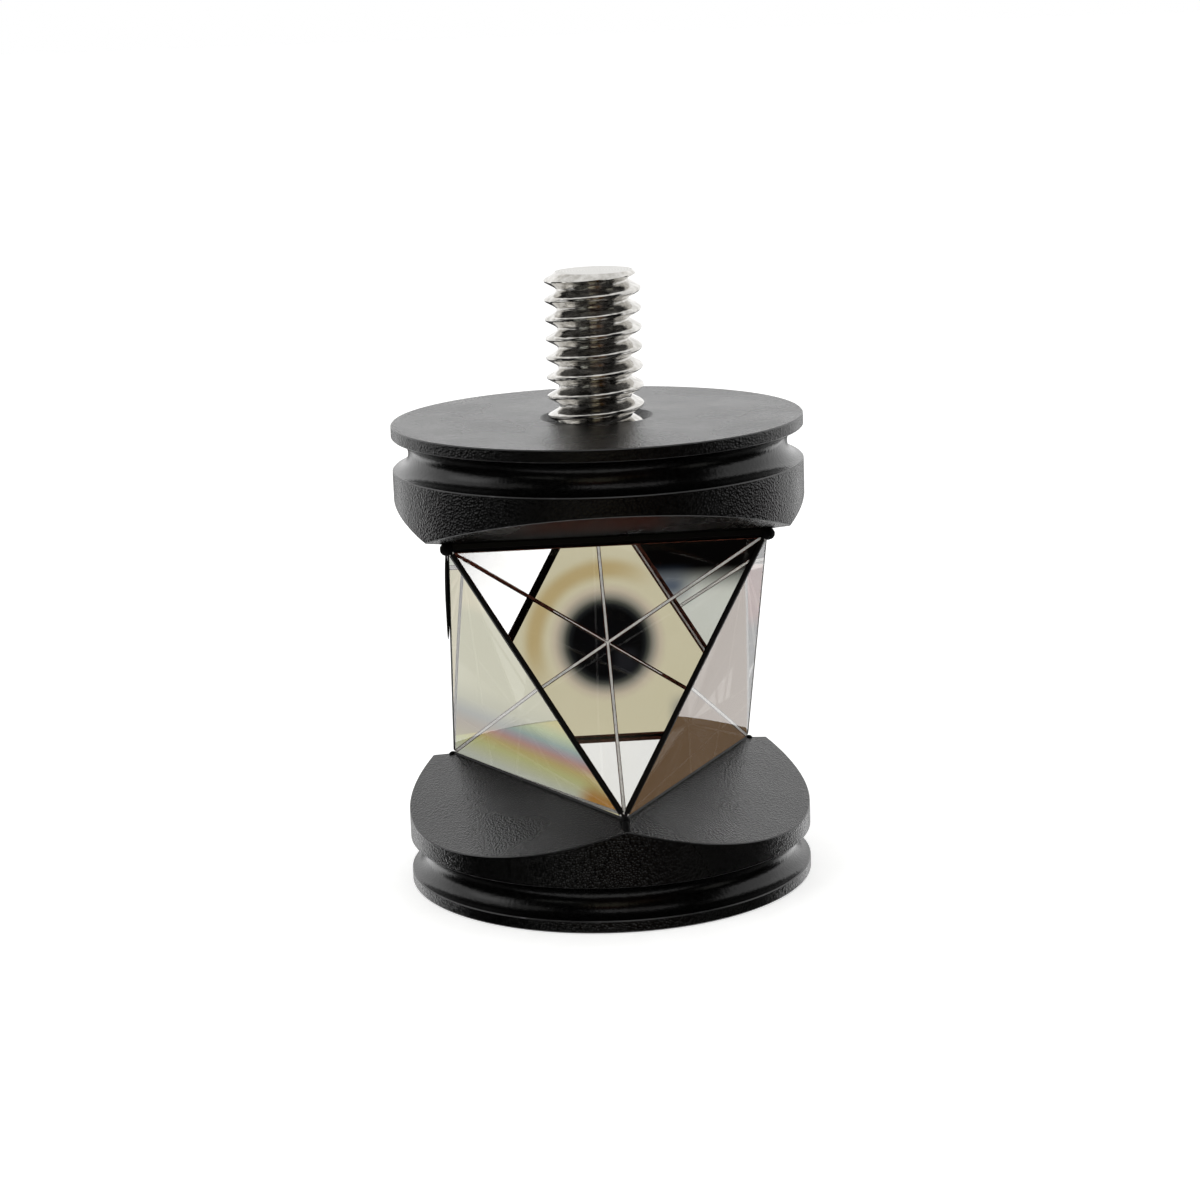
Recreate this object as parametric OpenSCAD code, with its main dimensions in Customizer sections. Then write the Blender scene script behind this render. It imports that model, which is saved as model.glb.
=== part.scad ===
// Omnidirectional surveying prism: six glass corner cubes set round one point, so that the block
// sends light back from every side, between two turned mounts, with a threaded stud on top.
// Millimetres. +Z runs up the axis, and the origin is the centre of the lower mount's flat face.
// The prism that faces the viewer in the front view looks along -Y.

/* [Glass block] */
// Edge of the square-on face of one corner cube
face_edge = 20.8; // [16:0.1:26]
// Thickness of the painted silver backing on the three rear faces of a prism
backing_t = 0.05; // [0.04:0.01:0.2]
// Thickness of the black cement between two neighbouring prisms
cement_t = 0.06; // [0.06:0.01:0.3]
// Depth of the flat ground along each edge of a prism face
edge_grind = 0.15; // [0.1:0.01:0.3]
// How far the wiped cement in a seam stays below the sharp ridge between two faces
seam_wipe = 0.04; // [0.01:0.01:0.06]
// How far the cement in a seam stops short of the corners of the block
seam_end = 0.5; // [0.3:0.05:1]

/* [Mounts] */
// How far the wall of a mount stands out past the corners of the glass
rim_overhang = 1.59; // [1:0.01:4]
// Height of a mount, from its flat face to the plane of the glass triangle that it carries
mount_h = 6.95; // [6.2:0.05:12]
// Thickness of the flange beyond the groove
flange_t = 0.82; // [0.6:0.01:1.6]
// Radius of the half-round groove below the flange
groove_r = 1.08; // [0.6:0.01:1.3]
// Chamfer that breaks the outer edges of a mount
edge_break = 0.1; // [0.05:0.01:0.25]
// Height of the flat on the tip of the nose, above the point where the prisms meet
nose_tip_h = 1.5; // [1:0.1:3]
// Cement space between the nose and the backed glass beside it
nose_gap = 0.13; // [0.08:0.01:0.3]
// Gap between the inner edge of a facet and the edge of the backing below it
lip_gap = 0.02; // [0.01:0.01:0.03]
// How much higher the upper mount sits on its thicker bed of cement
upper_bed = 0.3; // [0:0.05:0.5]

/* [Stud and tapped holes] */
// Outside diameter of the thread
thread_d = 6.35; // [5:0.01:8]
// Thread pitch
thread_pitch = 1.27; // [0.8:0.01:1.5]
// Length of the stud that stands above the upper mount
stud_out = 9.6; // [6:0.1:12]
// Length of the stud that is screwed into the upper mount
stud_in = 6.3; // [4:0.1:7.5]
// Distance from the end of the stud to its first full crest
first_crest = 0.62; // [0.6:0.01:1]
// Chamfer on each end of the stud
stud_chamfer = 0.5; // [0.3:0.05:0.7]
// Clearance between the stud and its hole at the pitch line
thread_gap = 0.02; // [0.01:0.01:0.05]
// How much deeper than the stud a tapped hole is, to the drill's shoulder
tap_spare = 0.7; // [0.3:0.1:1.5]
// Included angle of the drill's point
drill_point = 118; // [90:1:140]
// How much wider than the thread the countersink round a tapped hole is
sink_margin = 1.15; // [0.6:0.05:3]

/* [Corner seals] */
// Width of the bead of sealant over each corner of the glass
seal_d = 0.7; // [0.4:0.05:1]
// How far a bead reaches in over the glass corner
seal_lap = 0.3; // [0.1:0.05:0.6]
// How far a short bead reaches out past the corner
seal_out = 0.35; // [0.2:0.05:0.8]
// How far the long bead down the front ridge stops short of the wall of the mount
seal_stop = 0.12; // [0.05:0.01:0.5]

/* [Hidden] */
$fn = 96;

// The six faces and the two triangles under the mounts make a regular octahedron,
// and its six corners lie on three square axes through the point where the prisms meet.
axis_reach = face_edge / sqrt(2);
block_h = face_edge * sqrt(2 / 3);
half_h = block_h / 2;
corner_r = face_edge / sqrt(3);
edge_r = corner_r / 2;
// Lean of the square axes from the vertical, and of the prism faces from upright
axis_lean = acos(1 / sqrt(3));
face_lean = asin(1 / 3);
// Slope of the ridge between two facets of a mount
ridge_rise = asin(1 / sqrt(33));

half_cement = cement_t / 2;
glass_inset = half_cement + backing_t;
mount_r = corner_r + rim_overhang;
nose_inset = nose_gap - half_cement;
// A facet is square to a prism face, so it meets the backing's edge this far in from the corner line
facet_lip = half_cement * sqrt(3 / 2) - lip_gap;
mid_z = mount_h + half_h;
face_z = half_h + mount_h;
top_z = mid_z + upper_bed + face_z;
// Reach of a cut or a half space past everything, and past one surface
big = 8 * (mount_r + face_z);
past = 1;

// Form of a 60 degree thread, from the height of the sharp triangle on the pitch
flank = 30;
thread_r = thread_d / 2;
sharp_h = thread_pitch * cos(flank);
crest_flat = thread_pitch / 8;
pitch_r = thread_r - sharp_h * 3 / 8;
root_r = thread_r - sharp_h * 17 / 24;
flank_run = (thread_r - root_r) * tan(flank);
turns_out = floor((stud_out - first_crest) / thread_pitch);
drill_r = (thread_d - thread_pitch) / 2;
stud_hole_r = pitch_r + thread_gap;
sink_r = (thread_d + sink_margin) / 2;
tap_depth = stud_in + tap_spare;

black_anodised = "#2b2b2b";
bright_steel = "#c9c9c4";
optical_glass = "#c9cbb2";
backing_paint = "#1c1a1a";
black_cement = "#0c0c0c";

// Stands the square axes round the vertical, with the point where the prisms meet at the origin
module on_square_axes() {
    rotate([0, 0, -90]) rotate([0, -axis_lean, 0]) rotate([0, 0, -45]) children();
}

// Everything up to the face of the prism between the three positive half axes
module behind_face() {
    rotate([0, 0, 45]) rotate([0, axis_lean, 0]) translate([-big, -big, -big])
        cube([2 * big, 2 * big, big + half_h]);
}

// Everything inside the flat that is ground along one edge of the face
module inside_flat(turn) {
    rotate(turn) translate([-big, -big, -big])
        cube([big + axis_reach / sqrt(2) - edge_grind, 2 * big, 2 * big]);
}

// A corner cube whose three square faces lie this far from the planes of the axes
module corner_cube(inset) {
    intersection() {
        translate([inset, inset, inset]) cube(axis_reach);
        behind_face();
        inside_flat([0, 0, 45]);
        inside_flat([0, -45, 0]);
        inside_flat([0, -45, 90]);
    }
}

// Turns that carry what lies between the three positive half axes to the place of each prism
module to_front() { rotate([0, 90, 0]) children(); }
module to_right_rear() { rotate([0, -90, 0]) children(); }
module to_left_rear() { rotate([90, 0, 0]) children(); }
module to_left_front() { rotate([180, 0, 0]) children(); }
module to_right_front() { rotate([0, 180, 0]) children(); }
module to_rear() { rotate([0, 0, 180]) children(); }

// Lifts the square axes to their place between the mounts
module in_block() {
    translate([0, 0, mid_z]) on_square_axes() children();
}

module glass_prism() {
    corner_cube(glass_inset);
}

// Silver, copper and paint on the three square faces of one prism
module glass_backing() {
    difference() {
        corner_cube(half_cement);
        translate([glass_inset, glass_inset, glass_inset]) cube(axis_reach);
    }
}

// Cement in the plane of the first two half axes. It fills the groove between the ground flats of
// two neighbouring prisms, and is wiped level there.
module cement_sheet() {
    reach = axis_reach - sqrt(2) * edge_grind - half_cement;
    wide = sqrt(2) * edge_grind;
    narrow = sqrt(2) * seam_wipe;
    linear_extrude(cement_t, center = true)
        polygon([[half_cement, half_cement], [reach, half_cement], [half_cement, reach]]);
    rotate([0, 0, 45]) translate([axis_reach / sqrt(2), 0, 0]) rotate([90, 0, 0])
        linear_extrude(face_edge - 2 * seam_end, center = true)
            polygon([[-edge_grind, -wide], [-seam_wipe, -narrow], [-seam_wipe, narrow], [-edge_grind, wide]]);
}

// Space above one facet of a mount, square to the prism face below it
module above_facet(azimuth) {
    rotate([0, 0, azimuth]) translate([edge_r, 0, half_h]) rotate([0, -face_lean, 0])
        translate([-big, -big, -facet_lip]) cube([2 * big, 2 * big, big]);
}

// Ring that cuts an outer edge of a mount back at 45 degrees, above or below the edge
module edge_cut(side) {
    rotate_extrude() polygon([[mount_r - edge_break, 0], [mount_r, side * edge_break],
                              [mount_r + past, side * edge_break], [mount_r + past, 0]]);
}

// The turned blank: flange, half-round groove and wall, with the edges broken
module turned_blank() {
    groove_z = face_z - flange_t - groove_r;
    difference() {
        cylinder(r = mount_r, h = face_z);
        translate([0, 0, face_z]) edge_cut(-1);
        translate([0, 0, groove_z + groove_r]) edge_cut(1);
        translate([0, 0, groove_z - groove_r]) edge_cut(-1);
        translate([0, 0, groove_z]) rotate_extrude() translate([mount_r, 0]) circle(r = groove_r);
    }
}

// One mount without its hole, over the point where the prisms meet
module solid_mount() {
    intersection() {
        turned_blank();
        for_all_facets();
    }
    intersection() {
        on_square_axes() translate([nose_inset, nose_inset, nose_inset]) cube(axis_reach);
        translate([0, 0, nose_tip_h]) cylinder(r = corner_r, h = half_h - nose_tip_h);
    }
}

module for_all_facets() {
    intersection() {
        above_facet(-90);
        above_facet(30);
        above_facet(150);
    }
}

// Drilled hole from a mount's flat face, with the drill's point and a 90 degree countersink
module mount_hole(hole_r) {
    point_h = hole_r / tan(drill_point / 2);
    sink_h = sink_r - hole_r;
    translate([0, 0, face_z]) rotate_extrude()
        polygon([[0, -tap_depth - point_h], [hole_r, -tap_depth], [hole_r, -sink_h],
                 [sink_r, 0], [sink_r, past], [0, past]]);
}

// Places for the two mounts: the lower one is the same piece upside down, turned to its triangle
module at_top() {
    translate([0, 0, mid_z + upper_bed]) children();
}

module at_bottom() {
    translate([0, 0, mid_z]) mirror([0, 0, 1]) rotate([0, 0, 180]) children();
}

module lower_mount() {
    color(black_anodised) at_bottom() difference() {
        solid_mount();
        mount_hole(drill_r);
    }
}

module upper_mount() {
    color(black_anodised) at_top() difference() {
        solid_mount();
        mount_hole(stud_hole_r);
    }
}

// Outline of one crest, counted down from the top. The crests are level rings, so that each is a
// true cylinder of the thread's full diameter, and the top one runs straight into the end chamfer.
function crest(k) = let (z = stud_out - first_crest - k * thread_pitch, half = crest_flat / 2)
    [[root_r, z - half - flank_run], [thread_r, z - half], [thread_r, z + half],
     k > 0 ? [root_r, z + half + flank_run] : [thread_r - stud_chamfer, stud_out]];

// Outline of the stud: plain at the pitch line where it is screwed in, ringed above
function stud_outline() = concat(
    [[0, -stud_in], [pitch_r - stud_chamfer, -stud_in], [pitch_r, stud_chamfer - stud_in],
     [pitch_r, stud_hole_r - sink_r], [root_r, stud_hole_r - sink_r]],
    [for (k = [turns_out:-1:0]) each crest(k)],
    [[0, stud_out]]);

module threaded_stud() {
    color(bright_steel) translate([0, 0, top_z]) rotate_extrude() polygon(stud_outline());
}

// Half spaces in front of which no cement or sealant stands proud of the glass
module within_faces() {
    intersection() {
        to_front() behind_face();
        to_right_rear() behind_face();
        to_left_rear() behind_face();
    }
}

// Cement round the nose of a mount, from the meeting point out to the faces
module nose_cement(bed) {
    difference() {
        intersection() {
            on_square_axes() translate([-half_cement, -half_cement, -half_cement])
                cube(axis_reach + face_edge);
            on_square_axes() within_faces();
            translate([-big / 2, -big / 2, 0]) cube([big, big, half_h + bed + facet_lip]);
        }
        translate([0, 0, bed]) solid_mount();
    }
}

// A bead along one ridge of a mount, over the corner of the glass, out to this radius
module ridge_bead(azimuth, bed, out_r) {
    intersection() {
        rotate([0, 0, azimuth]) translate([corner_r, 0, half_h + bed]) rotate([0, 90 - ridge_rise, 0])
            translate([0, 0, -seal_lap]) cylinder(d = seal_d, h = seal_lap + 2 * (out_r - corner_r));
        cylinder(r = out_r, h = big);
    }
}

// The beads over the three corners. The one over the ridge at 90 degrees may reach further out.
module corner_beads(bed, first_r) {
    difference() {
        for (bead = [[90, first_r], [210, corner_r + seal_out], [330, corner_r + seal_out]])
            ridge_bead(bead[0], bed, bead[1]);
        translate([0, 0, bed]) solid_mount();
        on_square_axes() within_faces();
    }
}

module lower_cement() {
    color(black_cement) at_bottom() nose_cement(0);
}

module upper_cement() {
    color(black_cement) translate([0, 0, mid_z]) nose_cement(upper_bed);
}

module lower_corner_seals() {
    color(black_cement) at_bottom() corner_beads(0, mount_r - seal_stop);
}

module upper_corner_seals() {
    color(black_cement) translate([0, 0, mid_z]) corner_beads(upper_bed, corner_r + seal_out);
}

module prism_front() { color(optical_glass) in_block() to_front() glass_prism(); }
module prism_left_front() { color(optical_glass) in_block() to_left_front() glass_prism(); }
module prism_right_front() { color(optical_glass) in_block() to_right_front() glass_prism(); }
module prism_rear() { color(optical_glass) in_block() to_rear() glass_prism(); }
module prism_left_rear() { color(optical_glass) in_block() to_left_rear() glass_prism(); }
module prism_right_rear() { color(optical_glass) in_block() to_right_rear() glass_prism(); }

module backing_front() { color(backing_paint) in_block() to_front() glass_backing(); }
module backing_left_front() { color(backing_paint) in_block() to_left_front() glass_backing(); }
module backing_right_front() { color(backing_paint) in_block() to_right_front() glass_backing(); }
module backing_rear() { color(backing_paint) in_block() to_rear() glass_backing(); }
module backing_left_rear() { color(backing_paint) in_block() to_left_rear() glass_backing(); }
module backing_right_rear() { color(backing_paint) in_block() to_right_rear() glass_backing(); }

module seam_front_left() { color(black_cement) in_block() rotate([-90, 0, 0]) cement_sheet(); }
module seam_front_right() { color(black_cement) in_block() rotate([0, 90, 0]) cement_sheet(); }
module seam_left() { color(black_cement) in_block() rotate([180, 0, 0]) cement_sheet(); }
module seam_right() { color(black_cement) in_block() rotate([0, 180, 0]) cement_sheet(); }
module seam_rear_left() { color(black_cement) in_block() rotate([0, -90, 180]) cement_sheet(); }
module seam_rear_right() { color(black_cement) in_block() rotate([90, 0, 180]) cement_sheet(); }

lower_mount();
upper_mount();
threaded_stud();
prism_front();
prism_left_front();
prism_right_front();
prism_rear();
prism_left_rear();
prism_right_rear();
backing_front();
backing_left_front();
backing_right_front();
backing_rear();
backing_left_rear();
backing_right_rear();
seam_front_left();
seam_front_right();
seam_left();
seam_right();
seam_rear_left();
seam_rear_right();
lower_cement();
upper_cement();
lower_corner_seals();
upper_corner_seals();
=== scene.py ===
# %% [markdown]
# # An omnidirectional surveying prism
# Six glass corner cubes stand in a ring between two turned black mounts, and a bright threaded
# stud rises from the upper one. Whoever aims at it from any side sees at least one cube that
# sends the light straight back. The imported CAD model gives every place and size. Here each
# piece gets the shape and the finish that the eye sees.

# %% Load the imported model
import itertools
import math

import bmesh
import bpy
from mathutils import Matrix, Vector, noise


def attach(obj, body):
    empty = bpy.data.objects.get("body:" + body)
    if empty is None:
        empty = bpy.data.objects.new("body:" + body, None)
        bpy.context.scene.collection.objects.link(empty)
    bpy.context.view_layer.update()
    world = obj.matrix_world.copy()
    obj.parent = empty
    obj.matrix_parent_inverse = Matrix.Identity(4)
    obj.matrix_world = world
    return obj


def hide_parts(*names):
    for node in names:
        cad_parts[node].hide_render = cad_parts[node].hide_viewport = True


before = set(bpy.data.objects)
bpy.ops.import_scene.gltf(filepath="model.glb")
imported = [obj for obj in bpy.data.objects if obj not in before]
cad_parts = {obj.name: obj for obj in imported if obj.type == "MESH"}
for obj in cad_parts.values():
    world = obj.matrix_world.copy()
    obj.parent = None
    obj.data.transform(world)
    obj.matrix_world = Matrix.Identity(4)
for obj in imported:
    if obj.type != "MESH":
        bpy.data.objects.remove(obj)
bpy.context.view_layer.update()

# %% [markdown]
# ## Sizes
# Blender works in metres and a machinist in millimetres, so lengths are written in millimetres
# and go through one function. The six cubes are what is left of a regular octahedron when its
# top and bottom eighths are taken away. Everything in the glass block follows from one length,
# the edge of a triangular face.

# %% Sizes of the glass block and the mounts
def mm(length):
    return length / 1000


FACE_EDGE = mm(20.8)
HALF_H = FACE_EDGE / math.sqrt(6)
CORNER_R = FACE_EDGE / math.sqrt(3)
EDGE_R = CORNER_R / 2
FACE_LEAN = math.asin(1 / 3)
MOUNT_H = mm(6.95)
MID_Z = MOUNT_H + HALF_H
MOUNT_R = CORNER_R + mm(1.59)
UPPER_BED = mm(0.3)
GLASS_INSET = mm(0.085)
EDGE_GRIND = mm(0.152)
TOP_Z = MID_Z + HALF_H + UPPER_BED + MOUNT_H
print("meeting point", round(MID_Z * 1000, 3), "top face", round(TOP_Z * 1000, 3))

# %% [markdown]
# ## Square axes
# The cubes meet in one point, and their square edges lie along three axes that are square to
# each other and lean equally from the vertical. A cube is named by the signs of the three axes
# between which it sits. One matrix then carries a cube modelled upright into its place, which
# is simpler and more exact than turning each by hand.

# %% Places of the six cubes
def square_axis(azimuth):
    lean, turn = math.atan(math.sqrt(2)), math.radians(azimuth)
    level = math.sin(lean)
    return Vector((level * math.cos(turn), level * math.sin(turn), math.cos(lean)))


AXES = [square_axis(-150), square_axis(-30), square_axis(90)]
PLACES = {"front": (1, 1, -1), "left_front": (1, -1, -1), "right_front": (-1, 1, -1),
          "rear": (-1, -1, 1), "left_rear": (1, -1, 1), "right_rear": (-1, 1, 1)}


def half_axes(signs):
    return [sign * axis for sign, axis in zip(signs, AXES)]


def between_axes(signs):
    corners = half_axes(signs)
    out = sum(corners, Vector()).normalized()
    side = (corners[2] - out * corners[2].dot(out)).normalized()
    turn = Matrix((side.cross(out), side, out)).transposed()
    return Matrix.Translation((0, 0, MID_Z)) @ turn.to_4x4()


print("front cube looks along", [round(x, 3) for x in between_axes(PLACES["front"]).col[2]])

# %% [markdown]
# ## Colours and nodes
# A colour picked on a screen is an sRGB value, and shaders add light in linear values, so each
# hex colour is converted once. A second helper adds one node with its settings and its links.
# With those two, every material below reads as a short recipe.

# %% Colour and node helpers
def linear(hex_colour):
    channels = [int(hex_colour[i:i + 2], 16) / 255 for i in (1, 3, 5)]
    return [c / 12.92 if c <= 0.04045 else ((c + 0.055) / 1.055) ** 2.4 for c in channels] + [1.0]


def add_node(tree, kind, inputs=(), **settings):
    node = tree.nodes.new(kind)
    for key, value in settings.items():
        setattr(node, key, value)
    for key, value in dict(inputs).items():
        if isinstance(value, bpy.types.NodeSocket):
            tree.links.new(value, node.inputs[key])
        else:
            node.inputs[key].default_value = value
    return node


def new_material(name, **surface):
    material = bpy.data.materials.new(name)
    material.use_nodes = True
    shader = material.node_tree.nodes["Principled BSDF"]
    for key, value in surface.items():
        shader.inputs[key.replace("_", " ")].default_value = value
    return material, material.node_tree, shader


def object_pattern(tree, size, height=None):
    """Object coordinates in units of this many metres, with a unit of its own for height."""
    place = add_node(tree, "ShaderNodeTexCoord")
    scale = add_node(tree, "ShaderNodeMapping", {0: place.outputs["Object"]})
    scale.inputs["Scale"].default_value = (1 / size, 1 / size, 1 / (height or size))
    return scale.outputs[0]


def noise_pattern(tree, size, detail=3.0, height=None):
    inputs = {"Vector": object_pattern(tree, size, height), "Scale": 1.0, "Detail": detail}
    return add_node(tree, "ShaderNodeTexNoise", inputs).outputs[0]


def ramp(tree, factor, stops):
    node = add_node(tree, "ShaderNodeValToRGB", {0: factor})
    for position, colour in stops[2:]:
        node.color_ramp.elements.new(position)
    for element, (position, colour) in zip(node.color_ramp.elements, sorted(stops)):
        element.position, element.color = position, linear(colour)
    return node.outputs[0]


print("a screen's mid grey is", round(linear("#808080")[0], 3), "in linear light")

# %% [markdown]
# ## What makes a surface real
# Three things make a uniform surface real: its colour drifts, its shine drifts and it isn't
# quite flat. Each gets a short function, so that the materials only name their values.

# %% Colour, shine and relief of a surface
def tint(tree, shader, pattern, stops):
    tree.links.new(ramp(tree, pattern, stops), shader.inputs["Base Color"])


def vary_roughness(tree, shader, pattern, smoothest, roughest):
    """Noise seldom leaves the middle of its range, so 0.3 to 0.7 of it is spread out."""
    value = add_node(tree, "ShaderNodeMapRange",
                     {0: pattern, 1: 0.3, 2: 0.7, 3: smoothest, 4: roughest}).outputs[0]
    tree.links.new(value, shader.inputs["Roughness"])


def dent(tree, shader, pattern, strength, depth):
    relief = {"Strength": strength, "Distance": depth, "Height": pattern}
    tree.links.new(add_node(tree, "ShaderNodeBump", relief).outputs[0], shader.inputs["Normal"])


# %% [markdown]
# ## Black anodised aluminium
# The mounts are turned, blasted with fine beads and anodised black. The dyed oxide layer is
# clear and hard like glass, so the metal under it hardly shows: the surface is almost black
# where it faces us and turns grey where it mirrors the white room at a flat angle. The beads
# leave round dents of about 0.1 mm, which show as a fine speckle. A Voronoi texture is just
# such a field of overlapping dents. So small they would flicker in a render, so they are drawn
# at 0.15 mm. The groove is left as the tool cut it and is smoother than the blasted faces.

# %% Anodised finishes
anodised, tree, shader = new_material("bead_blasted_black_anodised_aluminium", Roughness=0.26,
                                      Specular_IOR_Level=0.38)
grain = add_node(tree, "ShaderNodeTexVoronoi",
                 {"Vector": object_pattern(tree, mm(0.15)), "Scale": 1.0}).outputs[0]
tint(tree, shader, grain, [(0.2, "#090909"), (0.75, "#010101")])
vary_roughness(tree, shader, noise_pattern(tree, mm(5), 1.0), 0.23, 0.29)
dent(tree, shader, grain, 0.8, mm(0.045))

turned_groove, tree, shader = new_material("turned_and_anodised_groove", Roughness=0.22,
                                           Specular_IOR_Level=0.34)
marks = noise_pattern(tree, mm(0.25), 2.0)
tint(tree, shader, marks, [(0.36, "#010101"), (0.66, "#080808")])
dent(tree, shader, marks, 0.5, mm(0.03))

# Where an edge is broken the blast and the tumbling leave the oxide thinner and a little paler.
edge_worn, tree, shader = new_material("rubbed_edge_of_anodised_aluminium", Roughness=0.3,
                                       Specular_IOR_Level=0.5)
tint(tree, shader, noise_pattern(tree, mm(0.8), 4.0),
     [(0.35, "#0f0f0f"), (0.6, "#1a1a1a"), (0.78, "#48474a")])
print("anodised finishes made")

# %% [markdown]
# ## Glass and silver
# Crown glass bends light by an index of 1.517 and has no colour in so thin a piece. The three
# square faces behind it are silvered, and the silver is seen only through the glass. So each
# cube is one closed solid whose front face is clear glass and whose back faces are a mirror:
# light goes in, meets all three mirrors and comes back the way it came, as in the real one.
# The ground edges are matt and pale, because their grit scatters light instead of passing it on.

# %% Optical finishes
crown_glass, tree, shader = new_material("polished_crown_glass", Transmission_Weight=1.0,
                                         IOR=1.517, Roughness=0.0)
shader.inputs["Base Color"].default_value = linear("#ffffff")

silver, tree, shader = new_material("silver_mirror_behind_glass", Metallic=1.0, Roughness=0.0)
tint(tree, shader, noise_pattern(tree, mm(3)), [(0.3, "#fdfdfc"), (0.75, "#ffffff")])

ground_edge, tree, shader = new_material("ground_glass_edge", Roughness=0.9,
                                         Specular_IOR_Level=0.2)
tint(tree, shader, noise_pattern(tree, mm(0.2)), [(0.3, "#d0cec8"), (0.7, "#eceae4")])

# The silver stops a little short of the face. There one sees the brown of the paint.
bare_paint, tree, shader = new_material("brown_paint_behind_glass", Roughness=0.6,
                                        Specular_IOR_Level=0.0)
tint(tree, shader, noise_pattern(tree, mm(0.4)), [(0.3, "#301a13"), (0.7, "#502d23")])
print("optical finishes made")

# %% [markdown]
# ## Backing paint, cement and sealant
# Copper and dark paint protect the silver. Black epoxy joins the painted backs and ends in the
# seams between the cubes. It was wiped while soft, so it is smooth with a dull shine. All are
# close to black and differ in shine, which is why black alone would be a poor recipe.

# %% Paint, epoxy and sealant
backing_paint, tree, shader = new_material("dark_backing_paint", Roughness=0.5)
tint(tree, shader, noise_pattern(tree, mm(0.6)), [(0.3, "#120c0b"), (0.7, "#241917")])

epoxy, tree, shader = new_material("wiped_black_epoxy", Roughness=0.45, Specular_IOR_Level=0.25)
drift = noise_pattern(tree, mm(0.5))
tint(tree, shader, drift, [(0.3, "#020202"), (0.7, "#080707")])
dent(tree, shader, drift, 0.2, mm(0.04))

# The sealant beads were dabbed on afterwards and are duller still.
sealant, tree, shader = new_material("matt_black_sealant", Roughness=0.75,
                                     Specular_IOR_Level=0.12)
tint(tree, shader, noise_pattern(tree, mm(0.3)), [(0.3, "#010101"), (0.7, "#060606")])
print("paint, epoxy and sealant made")

# %% [markdown]
# ## Plated steel
# The stud is cut steel with a bright nickel plate. The plate is a near mirror, a little cloudy
# where the steel under it was rougher, so it takes hard black and white bands from the room.
# Its flat end was faced on the lathe, and fine rings make it duller and greyer.

# %% Stud finishes
nickel, tree, shader = new_material("bright_nickel_plated_steel", Metallic=1.0, Roughness=0.11)
stains = noise_pattern(tree, mm(0.6), 4.0)
tint(tree, shader, stains, [(0.3, "#aeaba5"), (0.65, "#d6d4d0")])
vary_roughness(tree, shader, stains, 0.08, 0.16)
# Fine scratches run along the thread and scatter some light, which greys the dark reflections.
scratches = noise_pattern(tree, mm(1), 4.0, height=mm(0.2))
haze = add_node(tree, "ShaderNodeMapRange", {0: scratches, 1: 0.4, 2: 0.62, 3: 1.0, 4: 0.93})
tree.links.new(haze.outputs[0], shader.inputs["Metallic"])
dent(tree, shader, scratches, 0.6, mm(0.05))

faced_end, tree, shader = new_material("faced_and_plated_end", Metallic=1.0, Roughness=0.3)
rings = add_node(tree, "ShaderNodeTexWave",
                 {"Vector": object_pattern(tree, mm(1)), "Scale": 1.6, "Distortion": 1.5},
                 wave_type="RINGS", rings_direction="Z").outputs["Fac"]
tint(tree, shader, rings, [(0.2, "#a9a7a2"), (0.8, "#cbc9c4")])
dent(tree, shader, rings, 0.2, mm(0.03))
print("stud finishes made")

# %% [markdown]
# ## From a bmesh to a piece
# Flat cuts shape the glass, the facets and the ends of the threads, so one function makes them.
# Each new piece ends the same way: its loose doubles are merged, its faces are turned outwards,
# edges sharper than a given angle are marked so that round walls shade smooth and flat faces
# stay flat, and the mesh becomes an object that stands for its CAD node.

# %% Finish a piece
CUT_DIST = mm(0.0002)


def everything(shape):
    return shape.verts[:] + shape.edges[:] + shape.faces[:]


def cut_away(shape, place, normal):
    """Cuts off what lies on the side that the normal points to. Returns the open rim."""
    cut = bmesh.ops.bisect_plane(shape, geom=everything(shape), dist=CUT_DIST, plane_co=place,
                                 plane_no=normal, clear_outer=True)
    return [part for part in cut["geom_cut"] if isinstance(part, bmesh.types.BMEdge)]


def finish_piece(shape, name, materials, sharp=25):
    bmesh.ops.remove_doubles(shape, verts=shape.verts, dist=mm(0.0005))
    bmesh.ops.recalc_face_normals(shape, faces=shape.faces)
    for face in shape.faces:
        face.smooth = True
    for edge in shape.edges:
        edge.smooth = edge.is_manifold and edge.calc_face_angle(0) < math.radians(sharp)
    mesh = bpy.data.meshes.new(name)
    shape.to_mesh(mesh)
    shape.free()
    for material in materials:
        mesh.materials.append(material)
    piece = bpy.data.objects.new(name, mesh)
    bpy.context.scene.collection.objects.link(piece)
    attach(piece, "root")
    print(name, len(mesh.polygons), "faces")
    return piece


# %% [markdown]
# ## The corner cubes
# A corner cube is the corner of a cube cut off by a plane: a pyramid on three sides whose three
# faces are square to each other. A cone of three segments gives it exactly, when its height is
# its base radius over the square root of two. It is made point down, so that its face looks up
# and the matrix from before lays it into the ring.
#
# Every edge of real optical glass is ground, so that it doesn't chip, and the ground edges are
# the pale lines one sees. The three edges behind get a bevel of five faces: the inner ones are
# ground glass and the outer two bare paint, so that each line is pale between two dark ones.
# The edges round the face are cut by planes that lie square between the axes, because such a
# flat is parallel to its neighbour's and leaves an even gap for the black seam. Where the upper
# mount is cemented on, black cement wets that flat and no line shows. Last, the silver ends a
# little before the face. One sees that strip in the mirrors, as the dark sides of the hexagon.
#
# No two cubes come off the grinding wheel alike. In the front one an edge is ground so thinly
# that it shows as a brown hair, the strip is wide, and cement has crept behind one side of it
# and over the flat on the right.

# %% Cut, grind and silver one cube
BACK_GRIND, PALE_END, COVER_GAP = mm(0.17), mm(5.2), mm(0.002)
BARE_STRIP, WIDE_STRIP = mm(0.1), mm(0.285)
SILVER, GROUND, PAINT, CEMENT = 1, 2, 3, 4


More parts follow.
